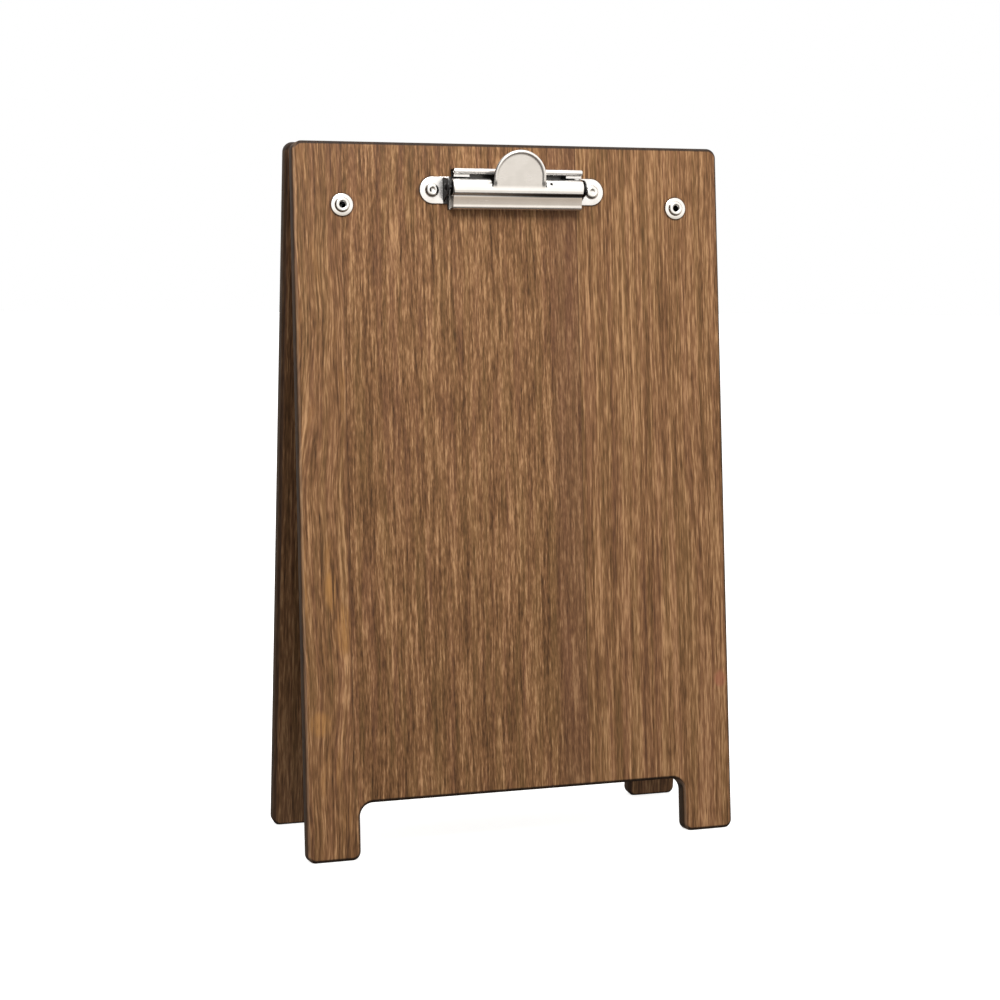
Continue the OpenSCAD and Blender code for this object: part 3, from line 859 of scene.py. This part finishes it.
def hinge_rivet_profile():
    """A tubular rivet: a rolled lip on the washer, and a lower one behind the hinge's leaf."""
    back = -BOARD_T - LEAF_T
    rolled = arc(HINGE_BORE_R + 1.25, WASHER_T, 1.25, 180, 0, 16)
    flat = [
        (HINGE_SHANK_R, WASHER_T), (HINGE_SHANK_R, back), (3.1, back), (3.3, back - 0.2),
        (3.25, back - 0.6), (2.9, back - 0.9), (1.8, back - 0.9), (1.4, back - 0.75),
        (HINGE_BORE_R, back - 0.4),
    ]
    return rolled + flat


def washer_profile(bore, r, low, high, ease):
    """A washer with eased edges, between two heights."""
    corner = 0.3 * ease
    return [
        (bore, low + ease), (bore + ease, low),
        (r - ease, low), (r - corner, low + corner), (r, low + ease),
        (r, high - ease), (r - corner, high - corner), (r - ease, high),
        (bore + ease, high), (bore, high - ease),
    ]


def make_rivets(side):
    panel = side + "_panel"
    clip_z = ROD_Z + EAR_U
    made = pair(side + "_clip_rivet_heads", clip_rivet_profile(), RIVET_X, clip_z)
    finish_piece(made, side, panel, "rivet_nickel", RIVET_NICKEL, side + "_clip_rivets")
    backer = washer_profile(CLIP_SHANK_R, 4.2, -BOARD_T - 0.6, -BOARD_T, 0.12)
    made = pair(side + "_backing_washers", backer, RIVET_X, clip_z)
    finish_piece(made, side, panel, "hinge_steel", HINGE_ZINC, side + "_clip_backers")
    made = pair(side + "_tubular_rivets", hinge_rivet_profile(), HINGE_X, LEAF_RIVET, 56)
    finish_piece(made, side, panel, "rivet_nickel", RIVET_NICKEL, side + "_hinge_rivets")
    washer = washer_profile(HINGE_SHANK_R, WASHER_R, 0.0, WASHER_T, 0.25)
    made = pair(side + "_face_washers", washer, HINGE_X, LEAF_RIVET, 56)
    finish_piece(made, side, panel, "rivet_nickel", RIVET_NICKEL, side + "_rivet_washers")


# ---------------------------------------------------------------- hinges

def leaf_section(roll_r):
    """From the bottom of a leaf up to the pin and round it, in (y, z) at the sheet's middle."""
    plate_y = -FACE_GAP + LEAF_T / 2
    flat = [(plate_y, z) for z in spread(LEAF_TOP, -0.4 * KNUCKLE_R, 3)]
    return flat + arc(0, 0, roll_r, 180, -130, 26)


def make_leaf(side, name, x, stretches, bore):
    """A hinge leaf: a flat plate with rounded corners, its knuckles rolled from the same sheet."""
    half = HINGE_LEN / 2
    r = 2.5
    low = -LEAF_DROP
    outline = arc(-half + r, low + r, r, 180, 270, 8) + arc(half - r, low + r, r, 270, 360, 8)
    outline += [(half, LEAF_TOP), (-half, LEAF_TOP)]
    place = lambda a, z, depth: Vector((x + a, -FACE_GAP + depth, z))
    parts = [plate(name, outline, LEAF_T, place, 0.15, 2)]
    for start, end in stretches:
        bm = bmesh.new()
        xs = spread(x + start, x + end, 4)
        rows = [[Vector((a, y, z)) for a in xs] for y, z in leaf_section((KNUCKLE_R + bore) / 2)]
        rows.insert(0, [Vector((a, -FACE_GAP + LEAF_T / 2, LEAF_TOP - 0.5)) for a in xs])
        add_grid(bm, rows)
        bmesh.ops.recalc_face_normals(bm, faces=bm.faces)
        knuckle = thicken(to_object(bm, "knuckle"), LEAF_T - (bore - PIN_R), 0.0)
        parts.append(ease_edges(knuckle, 0.12, 2, 60))
    made = join_all(parts)
    hole = [(0.0, -3 * BOARD_T), (HINGE_SHANK_R, -3 * BOARD_T), (HINGE_SHANK_R, 0.0), (0.0, 0.0)]
    combine(made, lathe("drill", hole, on_face(x, LEAF_RIVET), 32), "DIFFERENCE")
    return made


def make_hinge(which, x):
    """Two knuckles on the front leaf with the rear leaf's one between them, and the headed pin."""
    third, play = HINGE_LEN / 6, 0.1
    half = HINGE_LEN / 2
    node = "hinge_" + which
    outer_stretches = [(-half, -third - play), (third + play, half)]
    made = make_leaf("front", node + "_fixed_leaf", x, outer_stretches, PIN_R)
    finish_piece(made, "front", "front_panel", "hinge_steel", HINGE_ZINC, node + "_front_leaf")
    made = make_leaf("rear", node + "_swinging_leaf", -x, [(-third + play, third - play)], PIN_R + 0.05)
    finish_piece(made, "rear", "rear_panel", "hinge_steel", HINGE_ZINC, node + "_rear_leaf")
    head = [(PIN_R, 0.0), (2.0, 0.0), (2.1, 0.2), (1.9, 0.55), (1.2, 0.76), (0.0, 0.8)]
    head = [(r, half + rise) for r, rise in head]
    profile = [(r, -z) for r, z in reversed(head)] + head
    along = lambda a, b, c: Vector((x + c, a, b))
    made = lathe(node + "_pin_shaft", profile, along, 28)
    finish_piece(made, "front", "front_panel", "hinge_steel", HINGE_ZINC, node + "_pin")


# ---------------------------------------------------------------- stage, light and camera

# Green and blue, relative to red, of the studio's darker greys
DARK_WARMTH = (0.95, 0.89)

# The light that mirrors see and the light that falls on everything else
STUDIO_LIGHT = (1.45, 1.42, 1.38, 1)
SKY_LIGHT = (1.04, 1.08, 1.15, 1)

# The lens in millimetres, the place in metres, and yaw, pitch and roll in degrees
LENS = 77.53
SHIFT_Y = -0.0872
CAMERA_AT = (-0.35477, -1.03479, 0.29628)
CAMERA_TURN = (18.859, 4.344, 0.2975)


def make_floor():
    """A pale floor just under the feet, left out of reflections and bounced light."""
    bm = bmesh.new()
    bmesh.ops.create_circle(bm, cap_ends=True, segments=96, radius=9.0)
    floor = to_object(bm, "studio_floor")
    s = Shader("pale_floor")
    place = s.add("TexCoord", {}, out="Object")
    mottle = s.noise(s.stretch(place, (3.0, 3.0, 3.0)), detail=3.0)
    pale = s.blend(mottle, srgb(246, 246, 245), srgb(252, 252, 251))
    s.set(Base_Color=pale, Roughness=0.9, Emission_Color=pale, Emission_Strength=0.85)
    floor.data.materials.append(s.material)
    floor.location.z = -0.0002
    floor.visible_glossy = False
    floor.visible_diffuse = False


def make_world():
    """White to the eye; the metal sees a studio that is dark at its left, behind it and low down."""
    world = bpy.data.worlds.new("studio")
    bpy.context.scene.world = world
    world.use_nodes = True
    nodes, links = world.node_tree.nodes, world.node_tree.links
    background = nodes["Background"]
    path = nodes.new("ShaderNodeLightPath")
    place = nodes.new("ShaderNodeTexCoord")
    apart = nodes.new("ShaderNodeSeparateXYZ")
    links.new(place.outputs["Generated"], apart.inputs[0])

    def ramp_over(axis, stops):
        """Greys along one axis of a ray's direction, from -1 to 1."""
        shifted = nodes.new("ShaderNodeMath")
        shifted.operation = "MULTIPLY_ADD"
        links.new(apart.outputs[axis], shifted.inputs[0])
        shifted.inputs[1].default_value = 0.5
        shifted.inputs[2].default_value = 0.5
        ramp = nodes.new("ShaderNodeValToRGB")
        links.new(shifted.outputs[0], ramp.inputs[0])
        while len(ramp.color_ramp.elements) < len(stops):
            ramp.color_ramp.elements.new(0.5)
        for element, (at, grey) in zip(ramp.color_ramp.elements, stops):
            green, blue = DARK_WARMTH if grey < 0.8 else (1.0, 1.0)
            element.position = 0.5 + 0.5 * at
            element.color = (grey, grey * green, grey * blue, 1)
        return ramp.outputs[0]

    def times(first, second):
        """The product of two colours, each a socket or a value."""
        node = nodes.new("ShaderNodeMixRGB")
        node.blend_type = "MULTIPLY"
        node.inputs[0].default_value = 1.0
        for socket, value in zip(list(node.inputs)[1:], (first, second)):
            if isinstance(value, bpy.types.NodeSocket):
                links.new(value, socket)
            else:
                socket.default_value = value
        return node.outputs[0]

    left = ramp_over("X", [(-0.8, 0.02), (-0.4, 1.0)])
    behind = ramp_over("Y", [(-0.2, 1.0), (0.6, 0.45)])
    height = [(-0.9, 0.02), (-0.6, 0.12), (-0.3, 0.5), (-0.12, 0.72), (0.08, 1.0), (1.0, 0.9)]
    studio = times(times(times(left, behind), ramp_over("Z", height)), STUDIO_LIGHT)
    glossy = nodes.new("ShaderNodeMixRGB")
    links.new(path.outputs["Is Glossy Ray"], glossy.inputs[0])
    sky = ramp_over("Z", [(-1.0, 0.26), (-0.1, 0.36), (0.3, 0.56), (1.0, 0.6)])
    links.new(times(sky, SKY_LIGHT), glossy.inputs[1])
    links.new(studio, glossy.inputs[2])
    seen = nodes.new("ShaderNodeMixRGB")
    links.new(path.outputs["Is Camera Ray"], seen.inputs[0])
    links.new(glossy.outputs[0], seen.inputs[1])
    seen.inputs[2].default_value = (1, 1, 1, 1)
    links.new(seen.outputs[0], background.inputs["Color"])
    background.inputs["Strength"].default_value = 1.0


def soft_box(name, at, aim, size, power):
    light = bpy.data.lights.new(name, "AREA")
    light.shape = "RECTANGLE"
    light.size, light.size_y = size
    light.energy = power
    lamp = bpy.data.objects.new(name, light)
    bpy.context.scene.collection.objects.link(lamp)
    lamp.location = at
    lamp.rotation_euler = (Vector(aim) - Vector(at)).to_track_quat("-Z", "Y").to_euler()


def make_camera():
    data = bpy.data.cameras.new("camera")
    data.sensor_width = 36.0
    data.lens = LENS
    data.shift_y = SHIFT_Y
    camera = bpy.data.objects.new("camera", data)
    bpy.context.scene.collection.objects.link(camera)
    yaw, pitch, roll = (math.radians(a) for a in CAMERA_TURN)
    turn = Matrix.Rotation(-yaw, 3, "Z") @ Matrix.Rotation(math.pi / 2 - pitch, 3, "X")
    camera.matrix_world = (turn @ Matrix.Rotation(roll, 3, "Z")).to_4x4()
    camera.location = CAMERA_AT
    bpy.context.scene.camera = camera


make_camera()
make_world()
make_floor()
soft_box("key", (-0.1, -0.75, 0.98), (0, 0, 0.28), (0.55, 0.4), 6.5)
soft_box("top", (0.2, 0.2, 1.9), (0, 0, 0.2), (1.4, 1.4), 6)
bpy.context.scene.view_settings.view_transform = "Standard"

for side in ("front", "rear"):
    make_board(side)
    make_base(side)
    make_jaw(side)
    make_rod(side)
    make_spring(side)
    make_rivets(side)
for which, x in (("left", -HINGE_X), ("right", HINGE_X)):
    make_hinge(which, x)
